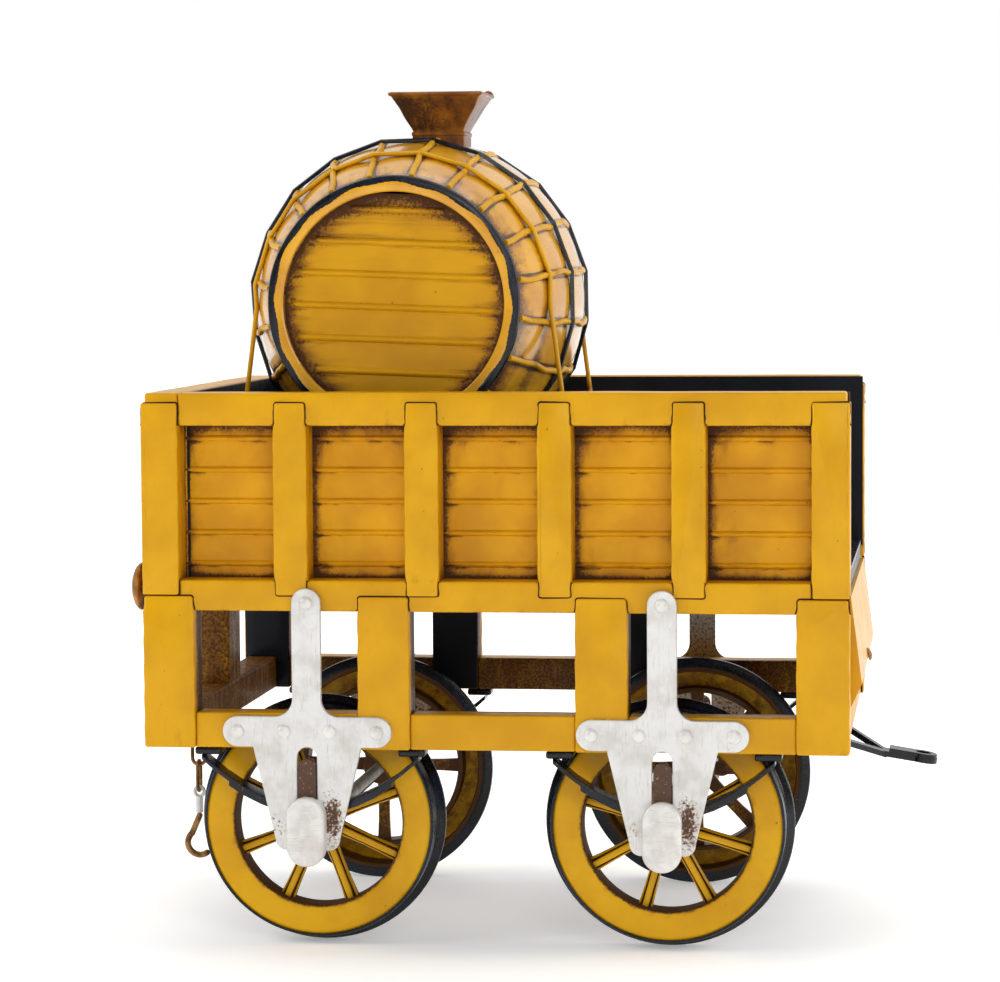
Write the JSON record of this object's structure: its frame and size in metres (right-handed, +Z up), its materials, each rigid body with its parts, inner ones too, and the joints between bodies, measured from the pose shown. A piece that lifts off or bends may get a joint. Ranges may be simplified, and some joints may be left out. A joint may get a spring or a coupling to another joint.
{
  "type": "model railway tender",
  "caption": "Tinplate display model of an early four-wheeled railway tender: open bunker on a post-and-rail underframe, water barrel across it, leaf springs, chain and drawbar.",
  "frame": {"origin": "On the surface that the wheels stand on, under the middle of the whole outline", "axes": "+X towards the drawbar end, +Y to the left side, +Z up"},
  "size_m": [0.1973, 0.1352, 0.2106],
  "materials": {
    "yellow_paint": "thick hand-brushed gloss enamel with dark patina in the corners",
    "ochre_paint": "gloss enamel with brown rubbed patina, black on the inside of the bunker",
    "black_paint": "semi-gloss black enamel",
    "bare_metal": "silvered sheet with light scratches and rust specks",
    "bronze_metal": "browned bronze wire and castings",
    "brown_paint": "brown rubbed enamel over yellow"
  },
  "bodies": {
    "frame": {"side_panel_left": "ochre_paint", "side_panel_right": "ochre_paint", "rear_panel": "ochre_paint", "floor_plate": "black_paint", "top_rail_left": "yellow_paint", "top_rail_right": "yellow_paint", "top_rail_rear": "yellow_paint", "bottom_rail_left": "yellow_paint", "bottom_rail_right": "yellow_paint", "bottom_rail_rear": "yellow_paint", "bottom_rail_front": "yellow_paint", "side_posts_left": "yellow_paint", "side_posts_right": "yellow_paint", "rear_posts": "yellow_paint", "underframe_posts_left": "yellow_paint", "underframe_posts_right": "yellow_paint", "lower_rail_left": "yellow_paint", "lower_rail_right": "yellow_paint", "headstock_rear": "yellow_paint", "headstock_front": "yellow_paint", "front_apron": "yellow_paint", "front_bolt": "bronze_metal", "buffers": "bronze_metal", "axle_guard_rear_left": "bare_metal", "axle_guard_rear_right": "bare_metal", "axle_guard_front_left": "bare_metal", "axle_guard_front_right": "bare_metal", "guard_rivets": "bare_metal", "spring_pads": "black_paint", "leaf_springs_rear": "black_paint", "leaf_springs_front": "black_paint", "barrel_shell": "yellow_paint", "barrel_head_left": "yellow_paint", "barrel_head_right": "yellow_paint", "barrel_ribs": "yellow_paint", "barrel_hoops": "black_paint", "barrel_ties": "yellow_paint", "barrel_cradle": "ochre_paint", "hopper": "brown_paint", "drawbar_bracket": "black_paint", "chain_eye": "bronze_metal"},
    "rear_axle_boxes": {"axle_box_rear_left": "bare_metal", "axle_box_rear_right": "bare_metal"},
    "front_axle_boxes": {"axle_box_front_left": "bare_metal", "axle_box_front_right": "bare_metal"},
    "rear_wheelset": {"wheel_rear_left": "yellow_paint", "wheel_rear_right": "yellow_paint", "tyres_rear": "black_paint", "axle_rear": "bare_metal"},
    "front_wheelset": {"wheel_front_left": "yellow_paint", "wheel_front_right": "yellow_paint", "tyres_front": "black_paint", "axle_front": "bare_metal"},
    "drawbar": {"drawbar": "black_paint"},
    "chain_top": {"chain_link_top": "bronze_metal"},
    "chain_middle": {"chain_link_middle": "bronze_metal"},
    "chain_bottom": {"chain_link_bottom": "bronze_metal"},
    "hook": {"hook_collar": "bare_metal", "coupling_hook": "bronze_metal"}
  },
  "joints": [
    {"name": "rear_axle_lift", "type": "slide", "parent": "frame", "child": "rear_axle_boxes", "axis": [0, 0, 1], "range_m": [0, 0.002], "stiffness_N_per_m": 3000, "springref_m": -0.004, "deforming": ["leaf_springs_rear"]},
    {"name": "front_axle_lift", "type": "slide", "parent": "frame", "child": "front_axle_boxes", "axis": [0, 0, 1], "range_m": [0, 0.002], "stiffness_N_per_m": 3000, "springref_m": -0.004, "deforming": ["leaf_springs_front"]},
    {"name": "rear_wheels_spin", "type": "hinge", "parent": "rear_axle_boxes", "child": "rear_wheelset", "pos_m": [-0.0512, 0, 0.0304], "axis": [0, 1, 0], "continuous": true},
    {"name": "front_wheels_spin", "type": "hinge", "parent": "front_axle_boxes", "child": "front_wheelset", "pos_m": [0.0344, 0, 0.0304], "axis": [0, 1, 0], "continuous": true},
    {"name": "drawbar_tilt", "type": "hinge", "parent": "frame", "child": "drawbar", "pos_m": [0.074, 0, 0.0472], "axis": [0, -1, 0], "range_deg": [0, 40]},
    {"name": "chain_top_swing", "type": "hinge", "parent": "frame", "child": "chain_top", "pos_m": [-0.09233, 0, 0.05114], "axis": [0, 1, 0], "range_deg": [-25, 25]},
    {"name": "chain_middle_swing", "type": "hinge", "parent": "chain_top", "child": "chain_middle", "pos_m": [-0.09233, 0, 0.04329], "axis": [0, 1, 0], "range_deg": [-30, 30]},
    {"name": "chain_bottom_swing", "type": "hinge", "parent": "chain_middle", "child": "chain_bottom", "pos_m": [-0.09233, 0, 0.03742], "axis": [0, 1, 0], "range_deg": [-30, 30]},
    {"name": "hook_swing", "type": "hinge", "parent": "chain_bottom", "child": "hook", "pos_m": [-0.09233, 0, 0.02957], "axis": [0, 1, 0], "range_deg": [-30, 30]}
  ]
}
